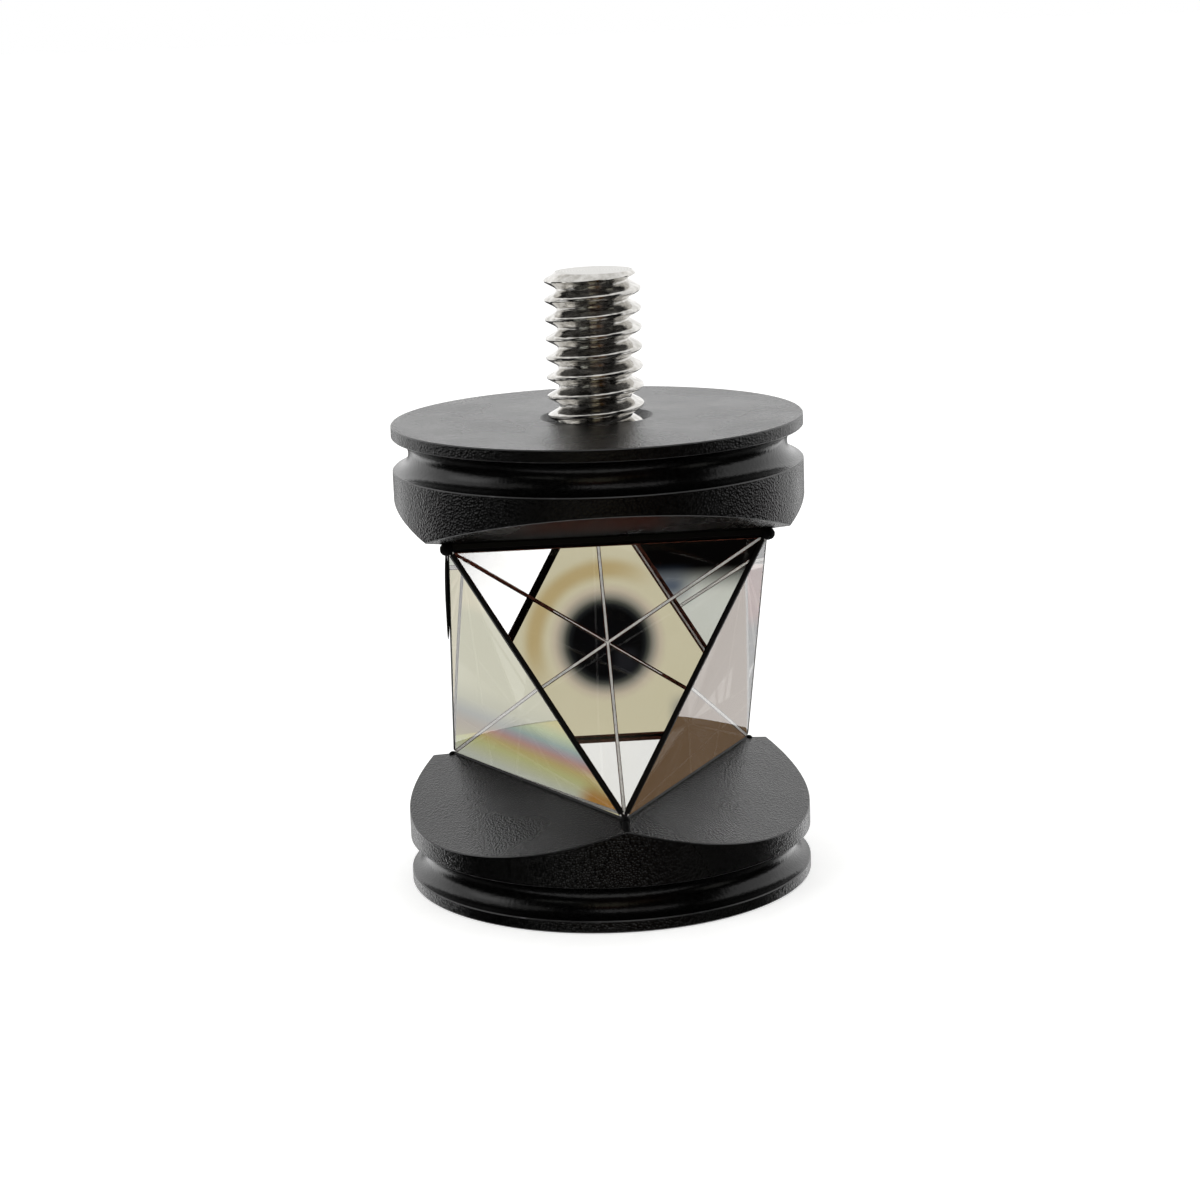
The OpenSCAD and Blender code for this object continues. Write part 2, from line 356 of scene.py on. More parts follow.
def grind_back_edges(shape, backs):
    """Bevels the three edges behind with five faces: paint, ground glass three times, paint."""
    edges = [edge for edge in shape.edges if min(v.co.z for v in edge.verts) < HALF_H / 2]
    ground = bmesh.ops.bevel(shape, geom=edges, offset=BACK_GRIND, segments=5, profile=0.5,
                             affect="EDGES", material=-1)["faces"]
    for face in ground:
        beside = max(face.normal.dot(side) for side in backs) > 0.95
        face.material_index = PAINT if beside else GROUND
    return ground


def thin_line(shape, ground, backs, way):
    """Narrows an edge's line to a hair of paint, with a pale core near the meeting point."""
    line = [face for face in ground if face.calc_center_median().normalized().dot(way) > 0.98]
    for face in line:
        likeness = max(face.normal.dot(side) for side in backs)
        face.material_index = SILVER if likeness > 0.95 else PAINT if likeness > 0.8 else GROUND
    edges = {edge for face in line for edge in face.edges}
    corners = {vert for face in line for vert in face.verts}
    bmesh.ops.bisect_plane(shape, geom=line + list(edges) + list(corners), dist=CUT_DIST,
                           plane_co=way * PALE_END, plane_no=way)
    for face in shape.faces:
        if face.material_index == GROUND and face.calc_center_median().dot(way) > PALE_END:
            face.material_index = PAINT


def corner_cube(name):
    tip = GLASS_INSET * math.sqrt(3)
    height = HALF_H - tip - COVER_GAP
    shape = bmesh.new()
    bmesh.ops.create_cone(shape, cap_ends=True, segments=3, radius1=0,
                          radius2=height * math.sqrt(2), depth=height)
    bmesh.ops.translate(shape, verts=shape.verts, vec=(0, 0, tip + height / 2))
    for face in shape.faces:
        face.material_index = 0 if face.normal.z > 0.9 else SILVER
    backs = [face.normal.copy() for face in shape.faces if face.material_index == SILVER]
    place, is_front = between_axes(PLACES[name]), name == "front"
    ways = [place.to_3x3().transposed() @ axis for axis in half_axes(PLACES[name])]
    ground = grind_back_edges(shape, backs)
    if is_front:
        thin_line(shape, ground, backs, ways[0])
    silver_end = HALF_H - (WIDE_STRIP if is_front else BARE_STRIP)
    bmesh.ops.bisect_plane(shape, geom=everything(shape), dist=CUT_DIST,
                           plane_co=(0, 0, silver_end), plane_no=(0, 0, 1))
    for face in shape.faces:
        if face.material_index == SILVER and face.calc_center_median().z > silver_end:
            is_wetted = is_front and face.normal.dot(ways[0]) < -0.95
            face.material_index = CEMENT if is_wetted else PAINT
    shape.transform(place)
    for pair in itertools.combinations(half_axes(PLACES[name]), 2):
        flat = (pair[0] + pair[1]).normalized()
        beside = Vector((0, 0, MID_Z)) + flat * (FACE_EDGE / 2 - EDGE_GRIND)
        rim = cut_away(shape, beside, flat)
        meets_upper_mount, is_right_flat = flat.z > 0.7, is_front and flat.x > 0.4
        for face in bmesh.ops.holes_fill(shape, edges=rim, sides=0)["faces"]:
            face.material_index = CEMENT if meets_upper_mount or is_right_flat else GROUND
    return finish_piece(shape, "glass_" + name,
                        [crown_glass, silver, ground_edge, bare_paint, sealant], sharp=5)


for name in PLACES:
    cube = corner_cube(name)
    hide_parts("prism_" + name)

# %% [markdown]
# ## The turned mounts
# Both mounts come off the lathe as the same blank: a thin flange, a half-round groove and a
# plain wall. A profile of some thirty points, most of them round the groove, is spun round the
# axis, which is just how the lathe makes it.
#
# Three facets are then cut off below, square to the glass faces that they meet, and a plane
# that bisects the mesh does the miller's work. The outer edges are broken by less than a tenth
# of a millimetre, and that small flat is what draws the thin pale line round each edge.

# %% Profile of the blank
FLANGE_T, GROOVE_R, EDGE_BREAK = mm(0.82), mm(1.08), mm(0.07)
FACE_Z = HALF_H + MOUNT_H
GROOVE_Z = FACE_Z - FLANGE_T - GROOVE_R
FACET_LIP = mm(0.0167)
BLANK_LOW = mm(2)
GROOVE_STEPS = 24


def blank_profile(hole_points):
    """Radii and heights: up the wall, round the groove and over the face into the hole."""
    broken_r = MOUNT_R - EDGE_BREAK
    groove = []
    for step in range(GROOVE_STEPS + 1):
        turn = math.pi * (step / GROOVE_STEPS - 0.5)
        radius = MOUNT_R - GROOVE_R * math.cos(turn)
        groove.append((min(radius, broken_r), GROOVE_Z + GROOVE_R * math.sin(turn)))
    return [(0, BLANK_LOW), (MOUNT_R, BLANK_LOW), (MOUNT_R, GROOVE_Z - GROOVE_R - EDGE_BREAK),
            *groove, (MOUNT_R, GROOVE_Z + GROOVE_R + EDGE_BREAK), (MOUNT_R, FACE_Z - EDGE_BREAK),
            (broken_r, FACE_Z), *hole_points]


def spin_profile(points, steps=288):
    shape = bmesh.new()
    corners = [shape.verts.new((r, 0, z)) for r, z in points]
    edges = [shape.edges.new(pair) for pair in zip(corners, corners[1:])]
    bmesh.ops.spin(shape, geom=corners + edges, axis=(0, 0, 1), cent=(0, 0, 0),
                   angle=math.tau, steps=steps, use_merge=True)
    bmesh.ops.remove_doubles(shape, verts=shape.verts, dist=mm(0.001))
    return shape


print("blank of", len(blank_profile([])), "points")

# %% [markdown]
# ## Facets, nose and hole
# Each cut keeps what lies above a plane that passes the top edge of one glass face. The open
# rim that a cut leaves is filled at once. The rim of the facets is then beveled like the other
# edges. Finishes are told apart by slope: a face near 45 degrees on the outside is a broken
# edge, and what lies further in at the height of the groove and isn't level gets the finish of
# the groove. The nose is a blunt three-sided pyramid that fills the space between the backs of
# the cubes. The hole ends in the cone of the drill and is countersunk to 90 degrees.

# %% Cut the facets and add the nose
def cut_facets(shape):
    for azimuth in (-90, 30, 150):
        turn = math.radians(azimuth)
        out = Vector((math.cos(turn), math.sin(turn), 0))
        normal = (Vector((0, 0, 1)) * math.cos(FACE_LEAN) - out * math.sin(FACE_LEAN)).normalized()
        point = out * EDGE_R + Vector((0, 0, HALF_H)) - normal * FACET_LIP
        bmesh.ops.holes_fill(shape, edges=cut_away(shape, point, -normal), sides=0)
        bmesh.ops.recalc_face_normals(shape, faces=shape.faces)


WORN, GROOVED = 1, 2
FACETS_END = HALF_H + mm(3.2)  # over the highest point of a facet and under the groove


def break_edges(shape):
    """Bevels the rim of the facets and gives every broken edge and the groove its finish."""
    rim = [e for e in shape.edges if e.is_manifold and e.calc_face_angle(0) > math.radians(35)
           and all(abs(v.co.xy.length - MOUNT_R) < mm(0.002) for v in e.verts)
           and max(v.co.z for v in e.verts) < FACETS_END]
    for face in bmesh.ops.bevel(shape, geom=rim, offset=EDGE_BREAK * 0.7, segments=1,
                                profile=0.5, affect="EDGES", material=-1)["faces"]:
        face.material_index = WORN
    for face in shape.faces:
        middle, slant = face.calc_center_median(), abs(face.normal.z)
        is_outside = middle.xy.length > MOUNT_R - EDGE_BREAK
        beside_groove = abs(middle.z - GROOVE_Z) < GROOVE_R
        if is_outside and 0.6 < slant < 0.8:
            face.material_index = WORN
        elif not is_outside and beside_groove and slant < 0.995:
            face.material_index = GROOVED


def add_nose(shape):
    """Adds the pyramid, set back from the glass by the backing and the cement."""
    inset, tip_z = mm(0.33), mm(1.5)
    low = tip_z - inset * math.sqrt(3)
    high = HALF_H - inset * math.sqrt(3)
    nose = bmesh.ops.create_cone(shape, cap_ends=True, segments=3, radius1=low * math.sqrt(2),
                                 radius2=high * math.sqrt(2), depth=high - low)["verts"]
    bmesh.ops.translate(shape, verts=nose, vec=(0, 0, (low + high) / 2 + inset * math.sqrt(3)))


def mount_solid(hole_points):
    shape = spin_profile(blank_profile(hole_points))
    cut_facets(shape)
    break_edges(shape)
    add_nose(shape)
    return shape


print("facets lean", round(math.degrees(FACE_LEAN), 2), "degrees from level")

# %% [markdown]
# ## Upper mount
# Its hole holds the stud, so only the countersink and the first dark step of the hole show.

# %% Make the upper mount
THREAD_R, PITCH = mm(3.175), mm(1.27)
PITCH_R, ROOT_R, DRILL_R = mm(2.762), mm(2.396), mm(2.54)
SINK_R, TAP_DEPTH, UPPER_CONE = mm(3.75), mm(7.0), mm(1.67)
upper_hole_r = PITCH_R + mm(0.02)
upper_hole = [(SINK_R, FACE_Z), (upper_hole_r, FACE_Z - SINK_R + upper_hole_r),
              (upper_hole_r, FACE_Z - TAP_DEPTH), (0, FACE_Z - TAP_DEPTH - UPPER_CONE)]
shape = mount_solid(upper_hole)
shape.transform(Matrix.Translation((0, 0, MID_Z + UPPER_BED)))
upper_mount = finish_piece(shape, "upper_mount_turned", [anodised, edge_worn, turned_groove])
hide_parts("upper_mount")

# %% [markdown]
# ## Threads
# A thread is one tooth profile carried along a helix. The spin operator takes a step along the
# axis with each step round it, so a profile one pitch tall, spun once round, ends exactly where
# a copy of it one pitch higher begins. Stacked copies of that turn make the whole thread, much
# faster than one long spin. Radii are then held inside a limit: that cuts the chamfer at the
# end of the stud, and the same step opens the countersink in a tapped hole.

# %% Spin a thread
ROOT_PART, FLANK_PART = 0.12, 0.74
STRAIGHT, ROUNDED = 0.72, 0.28


def thread_radius(phase, root, crest):
    """Radius at a phase of 0 to 1 through one pitch: a rounded root, a small crest flat."""
    lift = 1 - abs(phase - 0.5) * 2
    rise = min(max((lift - ROOT_PART) / FLANK_PART, 0), 1)
    soft = rise * rise * (3 - 2 * rise)
    return root + (crest - root) * (STRAIGHT * rise + ROUNDED * soft)


def spin_thread(root, crest, low, turns, crest_z, steps=120, samples=20):
    """A right-hand thread whose crest passes crest_z on the -X side."""
    shape = bmesh.new()
    start = low + (crest_z - low - PITCH / 2) % PITCH - PITCH
    phases = [k / samples for k in range(samples + 1)]
    profile = [shape.verts.new((-thread_radius(phase, root, crest), 0, start + PITCH * phase))
               for phase in phases]
    edges = [shape.edges.new(pair) for pair in zip(profile, profile[1:])]
    bmesh.ops.spin(shape, geom=profile + edges, axis=(0, 0, 1), cent=(0, 0, 0),
                   dvec=(0, 0, PITCH / steps), angle=math.tau, steps=steps)
    one_turn = everything(shape)
    for turn in range(1, turns):
        copy = bmesh.ops.duplicate(shape, geom=one_turn)["geom"]
        moved = [part for part in copy if isinstance(part, bmesh.types.BMVert)]
        bmesh.ops.translate(shape, verts=moved, vec=(0, 0, PITCH * turn))
    bmesh.ops.remove_doubles(shape, verts=shape.verts, dist=mm(0.002))
    return shape


print("crest flat at phase 0.5, radius", round(thread_radius(0.5, ROOT_R, THREAD_R) * 1000, 3))

# %% [markdown]
# ## The stud
# Threaded down into the countersink, plain below where the mount hides it, with a flat end and
# a 45 degree chamfer. The first crest passes the left side at the height in the photograph.

# %% Make the stud
STUD_TOP = TOP_Z + mm(9.6)
FIRST_CREST = TOP_Z + mm(9.05)
THREAD_LOW = TOP_Z - mm(0.9)
SHANK_LOW, SHANK_TOP, SHANK_CHAMFER = TOP_Z - mm(5.9), TOP_Z - mm(0.8), mm(0.4)
END_R, SINK_GAP = mm(2.675), mm(0.05)
STUD_TURNS, OVERRUN = 10, mm(0.3)


def make_stud():
    """Spins more thread than is needed, cuts both its ends flat and adds the plain shank."""
    shape = spin_thread(ROOT_R, THREAD_R, THREAD_LOW - OVERRUN, STUD_TURNS, FIRST_CREST)
    cut_away(shape, (0, 0, STUD_TOP), Vector((0, 0, 1)))
    cut_away(shape, (0, 0, THREAD_LOW), Vector((0, 0, -1)))
    for vert in shape.verts:
        chamfer = END_R + (STUD_TOP - vert.co.z)
        in_sink = SINK_R + (vert.co.z - TOP_Z) - SINK_GAP
        limit = min(chamfer, in_sink)
        reach = vert.co.xy.length
        if reach > limit:
            vert.co.xy *= limit / reach
    ends = [e for e in shape.edges if e.is_boundary]
    bmesh.ops.holes_fill(shape, edges=ends, sides=0)
    for low, top, low_r in ((SHANK_LOW, SHANK_TOP, PITCH_R),
                            (SHANK_LOW - SHANK_CHAMFER, SHANK_LOW, PITCH_R - SHANK_CHAMFER)):
        shank = bmesh.ops.create_cone(shape, cap_ends=True, segments=64, radius1=low_r,
                                      radius2=PITCH_R, depth=top - low)["verts"]
        bmesh.ops.translate(shape, verts=shank, vec=(0, 0, (low + top) / 2))
    for face in shape.faces:
        if face.calc_center_median().z > STUD_TOP - mm(0.01):
            face.material_index = 1
    return finish_piece(shape, "stud_threaded", [nickel, faced_end], sharp=30)


stud = make_stud()
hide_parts("threaded_stud")

# %% [markdown]
# ## Lower mount
# The same piece, turned half round about a level axis. That puts it upside down, and its
# triangle then meets the other end of the octahedron. Its tapped hole is open below, so it gets
# a real internal thread.

# %% Make the lower mount
BORE_R, BORE_LIP, LOWER_CONE = THREAD_R + mm(0.06), mm(0.02), mm(1.6)
TAPPED_LOW, TAPPED_TURNS = FACE_Z - TAP_DEPTH + mm(0.2), 6


def lower_thread():
    """The internal thread, as a mesh of its own, opened by the countersink."""
    thread = spin_thread(THREAD_R + BORE_LIP, DRILL_R, TAPPED_LOW, TAPPED_TURNS, FACE_Z)
    cut_away(thread, (0, 0, FACE_Z - BORE_LIP), Vector((0, 0, 1)))
    for vert in thread.verts:
        least = SINK_R - (FACE_Z - vert.co.z)
        reach = vert.co.xy.length
        if reach < least:
            vert.co.xy *= least / reach
    bmesh.ops.reverse_faces(thread, faces=thread.faces)
    mesh = bpy.data.meshes.new("tapped_thread")
    thread.to_mesh(mesh)
    thread.free()
    return mesh


def make_lower_mount():
    bore_top, bore_end = FACE_Z - SINK_R + BORE_R - BORE_LIP, FACE_Z - TAP_DEPTH
    shape = mount_solid([(SINK_R + BORE_LIP, FACE_Z), (BORE_R, bore_top), (BORE_R, bore_end),
                         (0, bore_end - LOWER_CONE)])
    mesh = lower_thread()
    shape.from_mesh(mesh)
    bpy.data.meshes.remove(mesh)
    shape.transform(Matrix.Translation((0, 0, MID_Z)) @ Matrix.Rotation(math.pi, 4, "X"))
    return finish_piece(shape, "lower_mount_turned", [anodised, edge_worn, turned_groove])


lower_mount = make_lower_mount()
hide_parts("lower_mount")

# %% [markdown]
# ## Pieces that keep their CAD mesh
# The backings, the seams and the cement are plain sheets with true edges. Nothing would be won
# by modelling them again, so their CAD meshes stay and only their material slots change.

# %% Dress the CAD nodes
for name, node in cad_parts.items():
    if name.startswith("backing_"):
        finish = backing_paint
    elif name.startswith("seam_") or name.endswith("_cement"):
        finish = epoxy
    else:
        continue
    node.data.materials.clear()
    node.data.materials.append(finish)
print("dressed the CAD nodes")

# %% [markdown]
# ## Sealant beads
# A dab of black sealant covers each outer corner of the glass and runs out along the ridge of
# the mount. A dab is a soft ball, drawn out along the ridge and a little lumpy. A ball of small
# triangles takes noise without a seam or a pole, so each bead is one such ball, turned and
# stretched by a matrix, with its points moved in and out by noise. The noise is read at another
# place for each dab, so no two are alike.

# %% Sculpt the beads
RIDGE_RISE = math.tan(FACE_LEAN) / 2
LUMP_DEPTH, LUMPS, APART = 0.1, 1.6, 3000


def on_ridge(azimuth, reach, way):
    """The point at this distance from the axis on an upper (way 1) or lower (way -1) ridge."""
    turn = math.radians(azimuth)
    rise = HALF_H + (reach - CORNER_R) * RIDGE_RISE
    return Vector((reach * math.cos(turn), reach * math.sin(turn), MID_Z + way * rise))


def add_dab(shape, start, end, half_width, half_height):
    """A lumpy ball, drawn out from one point to another."""
    lay = (end - start).to_track_quat("X", "Z").to_matrix().to_4x4()
    lay = Matrix.Translation((start + end) / 2) @ lay
    sizes = ((end - start).length / 2, half_width, half_height)
    for vert in bmesh.ops.create_icosphere(shape, subdivisions=4, radius=1)["verts"]:
        lump = 1 + LUMP_DEPTH * noise.noise(vert.co * LUMPS + start * APART)
        vert.co = lay @ Vector([c * size * lump for c, size in zip(vert.co, sizes)])


def make_beads(node, dabs):
    shape = bmesh.new()
    for dab in dabs:
        add_dab(shape, *dab)
    piece = finish_piece(shape, node + "_dabbed", [sealant], sharp=80)
    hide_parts(node)


def ridge_dab(way, azimuth, start, end, half_width, half_height):
    """A dab along a ridge, from one distance to another, all in millimetres."""
    return (on_ridge(azimuth, mm(start), way), on_ridge(azimuth, mm(end), way),
            mm(half_width), mm(half_height))


# Some sealant ran down the edge between the two cubes on the far left.
RUN_REACH, RUN_PART, RUN_HALF = CORNER_R + mm(0.06), 0.42, mm(0.13)
run_top = on_ridge(-150, RUN_REACH, 1)
run_end = run_top.lerp(on_ridge(150, RUN_REACH, -1), RUN_PART)
make_beads("upper_corner_seals", [ridge_dab(1, -150, 11.6, 12.44, 0.42, 0.44),
                                  ridge_dab(1, -30, 11.6, 12.44, 0.42, 0.44),
                                  ridge_dab(1, 90, 11.6, 12.44, 0.42, 0.44),
                                  (run_top, run_end, RUN_HALF, RUN_HALF)])
make_beads("lower_corner_seals", [ridge_dab(-1, -90, 11.7, 12.5, 0.33, 0.33),
                                  ridge_dab(-1, -90, 11.95, 13.55, 0.27, 0.22),
                                  ridge_dab(-1, 30, 11.8, 12.3, 0.22, 0.16),
                                  ridge_dab(-1, 150, 11.8, 12.3, 0.22, 0.16)])

# %% [markdown]
# ## Camera
# The view was found from the photograph: the ellipses of the flanges and the corners of the
# glass give the height, the turn and the distance, about 18 cm, which is why the near edges
# look so steep. The camera is rolled by two degrees, as the photograph is.

# %% Place the camera
CAMERA_DIST = mm(181.2)
CAMERA_TURN, CAMERA_RISE, CAMERA_ROLL = -4.318, 12.616, -1.997
AIM_HEIGHT, AIM_LEFT = mm(18.719), mm(0.191)
SENSOR_WIDTH, FOCAL_LENGTH = 36, 81.1  # in millimetres, as Blender wants them


def place_camera():
    turn, rise, roll = (math.radians(angle) for angle in (CAMERA_TURN, CAMERA_RISE, CAMERA_ROLL))
    flat = math.cos(rise)
    back = Vector((math.sin(turn) * flat, -math.cos(turn) * flat, math.sin(rise)))
    level = Vector((math.cos(turn), math.sin(turn), 0))
    above = back.cross(level)
    right = level * math.cos(roll) + above * math.sin(roll)
    up = above * math.cos(roll) - level * math.sin(roll)
    target = Vector((0, 0, AIM_HEIGHT)) - level * AIM_LEFT
    data = bpy.data.cameras.new("camera")
    data.sensor_width, data.lens = SENSOR_WIDTH, FOCAL_LENGTH
    data.clip_start, data.clip_end = mm(5), 20
    camera = bpy.data.objects.new("camera", data)
    axes = Matrix((right, up, back)).transposed().to_4x4()
    camera.matrix_world = Matrix.Translation(target + back * CAMERA_DIST) @ axes
    bpy.context.scene.collection.objects.link(camera)
    bpy.context.scene.camera = camera
    return camera


camera = place_camera()
print("camera at", [round(x * 1000, 1) for x in camera.location])

# %% [markdown]
# ## Room, floor and lamps
# A white room surrounds the piece, as a light tent does. The world is full white for the
# camera and dimmer for the light that it casts, so that soft lamps can shape the piece. The
# floor glows a little for the camera, which makes it as white as the room and leaves the shadow.

# %% World, floor and lamps
def light_path(tree, *kinds):
    """1 for rays of any of these kinds, otherwise 0."""
    path = add_node(tree, "ShaderNodeLightPath")
    total = path.outputs[kinds[0]]
    for kind in kinds[1:]:
        total = add_node(tree, "ShaderNodeMath", {0: total, 1: path.outputs[kind]},
                         operation="MAXIMUM").outputs[0]
    return total


scene = bpy.context.scene
scene.view_settings.view_transform = "Standard"
world = bpy.data.worlds.new("white_room")
scene.world = world
world.use_nodes = True
tree = world.node_tree
seen = light_path(tree, "Is Camera Ray", "Is Glossy Ray", "Is Transmission Ray")
level = add_node(tree, "ShaderNodeMapRange", {0: seen, 3: 0.55, 4: 1.0})
tree.links.new(level.outputs[0], tree.nodes["Background"].inputs["Strength"])
tree.nodes["Background"].inputs["Color"].default_value = (1, 1, 1, 1)

floor_finish, tree, shader = new_material("white_paper_floor", Roughness=0.9)
tint(tree, shader, noise_pattern(tree, mm(2)), [(0.3, "#f6f6f4"), (0.7, "#fbfbfa")])
shader.inputs["Emission Color"].default_value = (1, 1, 1, 1)
# The lamps hardly reach the far end of the floor, so its glow grows with the distance.
place = add_node(tree, "ShaderNodeTexCoord").outputs["Object"]
away = add_node(tree, "ShaderNodeVectorMath", {0: place}, operation="LENGTH").outputs["Value"]
glow = add_node(tree, "ShaderNodeMapRange", {0: away, 1: mm(300), 2: mm(1000), 3: 0.4, 4: 0.5})
seen = light_path(tree, "Is Camera Ray")
lift = add_node(tree, "ShaderNodeMath", {0: glow.outputs[0], 1: seen}, operation="MULTIPLY")
tree.links.new(lift.outputs[0], shader.inputs["Emission Strength"])


def stage_piece(shape, name, material):
    mesh = bpy.data.meshes.new(name)
    shape.to_mesh(mesh)
    shape.free()
    mesh.materials.append(material)
    piece = bpy.data.objects.new(name, mesh)
    scene.collection.objects.link(piece)
    return piece


# The floor lies a hair below the piece, so that their two faces don't fight.
FLOOR_HALF, FLOOR_GAP = 4, mm(0.02)
shape = bmesh.new()
bmesh.ops.create_grid(shape, x_segments=1, y_segments=1, size=FLOOR_HALF)
bmesh.ops.translate(shape, verts=shape.verts, vec=(0, 0, -FLOOR_GAP))
floor = stage_piece(shape, "floor", floor_finish)
floor.visible_glossy = floor.visible_transmission = False

LIT_POINT = Vector((0, 0, mm(18)))


def soft_lamp(name, place, size, power):
    data = bpy.data.lights.new(name, "AREA")
    data.size, data.energy = size, power
    lamp = bpy.data.objects.new(name, data)
    lamp.location = place
    aim = LIT_POINT - lamp.location
    lamp.rotation_euler = aim.to_track_quat("-Z", "Y").to_euler()
    lamp.visible_glossy = lamp.visible_transmission = False
    scene.collection.objects.link(lamp)
    return lamp


soft_lamp("lamp_above", (0.05, 0.05, 0.5), size=0.5, power=0.9)
soft_lamp("lamp_left", (-0.4, -0.2, 0.3), size=0.3, power=0.5)
print("room, floor and lamps are up")

# %% [markdown]
# ## What the glass and the metal look at
# Polished glass, plated steel and hard oxide show little of their own: they show the room. A
# corner cube even shows whoever looks into it the place where they look from. So what stands
# in front of the piece matters as much as its finish. All of it is drawn on one large ball, in
# angles seen from the piece: across to the right, and up. The ball is tied to the camera, and
# only mirrored rays and rays through glass see it.

# %% Angles on the ball
# Light meets many faces on its way into a corner cube and out again.
scene.cycles.max_bounces = 24
scene.cycles.glossy_bounces = 16
scene.cycles.transmission_bounces = 16
BALL_R = mm(185)

room_look = bpy.data.materials.new("room_around_the_piece")
room_look.use_nodes = True
tree = room_look.node_tree
tree.nodes.clear()
place = add_node(tree, "ShaderNodeTexCoord")
ray = add_node(tree, "ShaderNodeVectorMath", {0: place.outputs["Object"]}, operation="NORMALIZE")
parts = add_node(tree, "ShaderNodeSeparateXYZ", {0: ray.outputs[0]})
across = add_node(tree, "ShaderNodeMath", {0: parts.outputs[0], 1: parts.outputs[2]},
                  operation="ARCTAN2").outputs[0]
above = add_node(tree, "ShaderNodeMath", {0: parts.outputs[1]}, operation="ARCSINE").outputs[0]


def lay_over(under, mask, colour):
    """Lays a colour over another where the mask is 1."""
    mix = add_node(tree, "ShaderNodeMix", {0: mask, 6: under}, data_type="RGBA")
    if isinstance(colour, bpy.types.NodeSocket):
        tree.links.new(colour, mix.inputs[7])
    else:
        mix.inputs[7].default_value = colour
    return mix.outputs[2]


def times(product, *factors):
    """The product of all of them, each a socket or a number."""
    for factor in factors:
        product = add_node(tree, "ShaderNodeMath", {0: product, 1: factor},
                           operation="MULTIPLY").outputs[0]
    return product


def step_up(value, start, end):
    """Rises softly from 0 at the start to 1 at the end."""
    return add_node(tree, "ShaderNodeMapRange", {0: value, 1: start, 2: end},
                    interpolation_type="SMOOTHSTEP").outputs[0]


def soft_patch(left, right, low, high, soft):
    """1 between these angles in degrees and 0 outside, with edges this soft."""
    steps = []
    for angle, edge, side in ((across, left, 1), (across, right, -1),
                              (above, low, 1), (above, high, -1)):
        half = side * soft / 2
        steps.append(step_up(angle, math.radians(edge - half), math.radians(edge + half)))
    return times(*steps)


def brighter(hex_colour, factor):
    return [c * factor for c in linear(hex_colour)[:3]] + [1.0]


print("the ball is", round(BALL_R * 2000), "mm across")

# %% [markdown]
# ## Patches on the ball
# The room is white. Patches with soft edges are laid over it one after the other, each named
# by what it stands for. A value above white stands for a lamp or a window. Each patch was
# placed by following rays from the camera through the cubes, face by face, to the ball.

# %% Lay patches over the white room
white = add_node(tree, "ShaderNodeRGB")
white.outputs[0].default_value = linear("#ffffff")
room = white.outputs[0]
ROOM = [  # left, right, low and high edge and softness in degrees, then the colour
    # the bright half of the room behind the piece, seen in the disc and the ends of the walls
    (-200, -112, -2, 60, 14, brighter("#ffffff", 1.25)),
    (112, 200, -2, 60, 14, brighter("#ffffff", 1.25)),
    # a window to the left, seen in the upper left of the front cube and in the grooves
    (-92, -64, 8, 28, 5, brighter("#ffffff", 1.8)),
    # the lit floor behind, mirrored in the two side faces
    (-175, -127, -50, -2, 4, brighter("#ffffff", 1.6)),
    (131, 175, -50, -2, 5, brighter("#ffffff", 1.72)),
    # the dark half of the room, where the camera stands
    (-124, 127, -53, -3, 6, linear("#040404")),
    (-58, -12, -6, 58, 8, linear("#040404")),
    (36, 70, -6, 58, 8, linear("#040404")),
    (-16, 40, -6, 32, 6, linear("#160d0a")),
    # a warm grey lamp shade over the camera
    (8, 28, 36, 43, 6, linear("#6e594c")),
    # a dark horizon behind, which draws the outlines of the thread
    (-200, -158, -14, 9, 6, linear("#2c2c2c")),
    (158, 200, -14, 9, 6, linear("#2c2c2c")),
    # pale boards high on the left and low on the right, seen in the upper facet
    (-67, -42, 22, 44, 8, linear("#b0b0ae")),
    (62, 82, -38, -24, 5, linear("#aaaaa4")),
    # bright paper below, seen in the lowest corner of the front cube
    (-30, 30, -75, -50, 3, linear("#f3f3f0")),
    # a dark table and its paler edge, seen in the middle of the stud
    (-14, 38, -46, -18, 6, linear("#2a1812")),
    (-12, 30, -17, -8, 2, linear("#71655f")),
    # red-brown wood above the lens, seen in the middle of the upper facet
    (-9, 3.5, 9.5, 20, 1.5, linear("#76382c")),
    # a pale wall with a blue shade on it, seen in the upper right of the front cube
    (-45, -20, -20, -12.55, 1.3, linear("#c6c8c0")),
    (-45, -31.6, -13.2, -12.3, 1.2, linear("#424d5e")),
    # a brown board, seen in the right face
    (13, 23, -17, -2, 1, linear("#5e421c")),
    # the cream card with the lens in it
    (-12.5, 9, -9.5, 8, 2, linear("#c7c0a4")),
]
for *edges, soft, colour in ROOM:
    room = lay_over(room, soft_patch(*edges, soft), colour)
print("patches laid:", len(ROOM))

# %% [markdown]
# ## Painted split light
# The edge of a pane of glass splits light into colours, and these are painted on the ball as
# bands. The left face shows them twice: faint at first, and strong beyond a slanting edge.

# %% Paint split light into colours
def painted_split_light_bands(left, right, stops):
    """Painted bands of split light between two angles across."""
    strip = add_node(tree, "ShaderNodeMapRange",
                     {0: across, 1: math.radians(left), 2: math.radians(right)}).outputs[0]
    return ramp(tree, strip, stops)
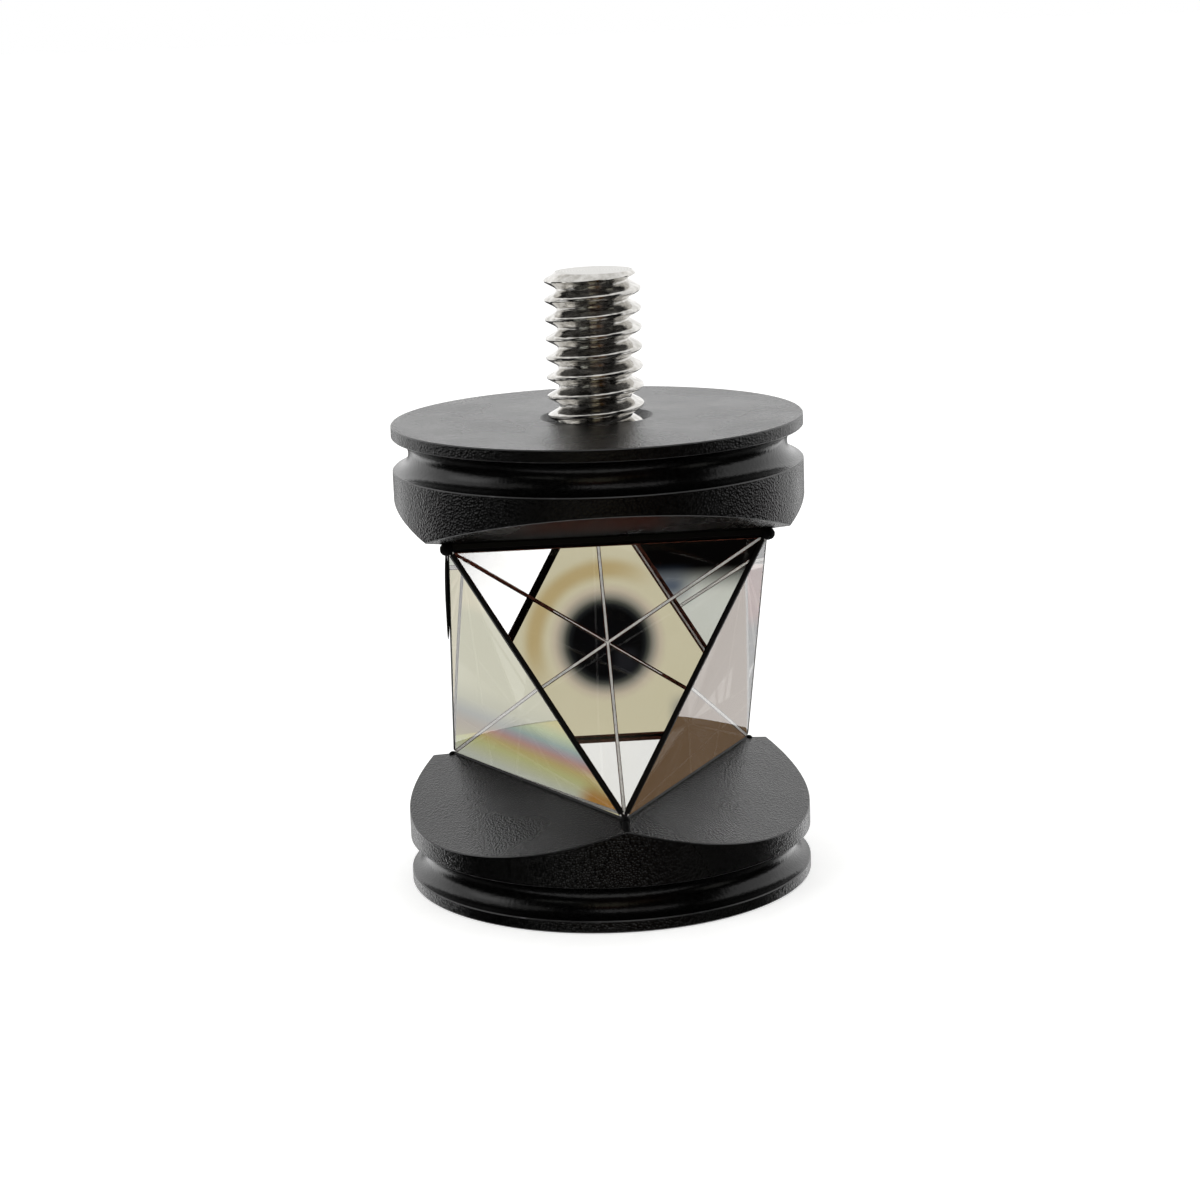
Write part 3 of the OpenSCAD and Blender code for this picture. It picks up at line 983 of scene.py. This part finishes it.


# Painted split light: bands of colour on the ball stand in for light that the glass splits.
SLANT, SLANT_START, SLANT_END = 0.5625, math.radians(5.77), math.radians(5.83)
SPLIT_LIGHT_AREA = (-12.5, -4.4, -9.5, 0.8, 0.6)
split_light_mask = soft_patch(*SPLIT_LIGHT_AREA)
room = lay_over(room, split_light_mask, painted_split_light_bands(-9.8, -7.4, [
    (0.0, "#9b9474"), (0.32, "#8c8071"), (0.5, "#868883"), (0.75, "#a8a790"), (1.0, "#b4b298")]))
slant = add_node(tree, "ShaderNodeMath", {0: times(above, SLANT), 1: across},
                 operation="SUBTRACT").outputs[0]
beyond = add_node(tree, "ShaderNodeMapRange",
                  {0: slant, 1: SLANT_START, 2: SLANT_END}).outputs[0]
room = lay_over(room, times(beyond, split_light_mask), painted_split_light_bands(-10.3, -7.8, [
    (0.0, "#b1b4a7"), (0.27, "#b0b07a"), (0.39, "#b2a26a"), (0.52, "#b08c80"),
    (0.6, "#a09498"), (0.69, "#98a8a4"), (0.84, "#bcc6a4"), (1.0, "#d4cd9f")]))
# a small amber patch of painted split light
room = lay_over(room, soft_patch(-10.6, -9.6, -1.0, 0.9, 0.9), linear("#9c7030"))
print("split colours lie from", SPLIT_LIGHT_AREA[0], "to", SPLIT_LIGHT_AREA[1], "degrees across")

# %% [markdown]
# ## The lens in the cube
# The camera looks into the cube and meets itself: its lens, dark with a soft rim, and a tan
# ring that shows on one side only. A faint gleam lies in the lens and a blue-grey one beside it.

# %% Draw the lens
out = add_node(tree, "ShaderNodeVectorMath", {0: ray.outputs[0], 1: (1, 1, 0)},
               operation="MULTIPLY").outputs[0]
out = add_node(tree, "ShaderNodeVectorMath", {0: out}, operation="LENGTH").outputs["Value"]
out = add_node(tree, "ShaderNodeMapRange", {0: out, 2: math.sin(math.radians(4))}).outputs[0]
lens = ramp(tree, out, [(0.0, "#08090b"), (0.345, "#060708"), (0.39, "#17191a"), (0.43, "#454640"),
                        (0.48, "#8b867a"), (0.55, "#bcb09c"), (0.62, "#c7c0a4")])
one_side = add_node(tree, "ShaderNodeMath", {0: parts.outputs[0], 1: parts.outputs[1]},
                    operation="SUBTRACT").outputs[0]
tan_ring = times(step_up(out, 0.6, 0.74), step_up(out, 0.92, 0.78))
tan_ring = times(tan_ring, step_up(one_side, 0.0, math.radians(3.2)))
room = lay_over(room, soft_patch(-2.8, 2.8, -2.8, 2.8, 0.4), lens)
room = lay_over(room, tan_ring, linear("#b3a074"))
room = lay_over(room, soft_patch(-1.2, -0.35, 0.3, 1.2, 0.5), linear("#1b1c1f"))
room = lay_over(room, soft_patch(-3.9, -2.8, 2.4, 4.0, 0.9), linear("#59616c"))
print("lens drawn")

# %% [markdown]
# ## Matt surfaces and the ball
# Matt edges in the glass are lit by the whole white room and not by the little that a mirror
# shows. So rays that start from a matt surface see plain white, a little over full.

# %% Hang the ball round the camera
depth = add_node(tree, "ShaderNodeLightPath").outputs["Diffuse Depth"]
matt = add_node(tree, "ShaderNodeMath", {0: depth, 1: 0.5}, operation="GREATER_THAN").outputs[0]
room = lay_over(room, matt, brighter("#ffffff", 1.4))
glow = add_node(tree, "ShaderNodeEmission", {"Color": room})
add_node(tree, "ShaderNodeOutputMaterial", {"Surface": glow.outputs[0]})

shape = bmesh.new()
bmesh.ops.create_uvsphere(shape, u_segments=256, v_segments=128, radius=BALL_R)
ball = stage_piece(shape, "room_on_a_ball", room_look)
ball.visible_camera = ball.visible_diffuse = ball.visible_shadow = False
ball.parent = camera
ball.location = (0, 0, -CAMERA_DIST)
print("room drawn with", len(tree.nodes), "nodes")
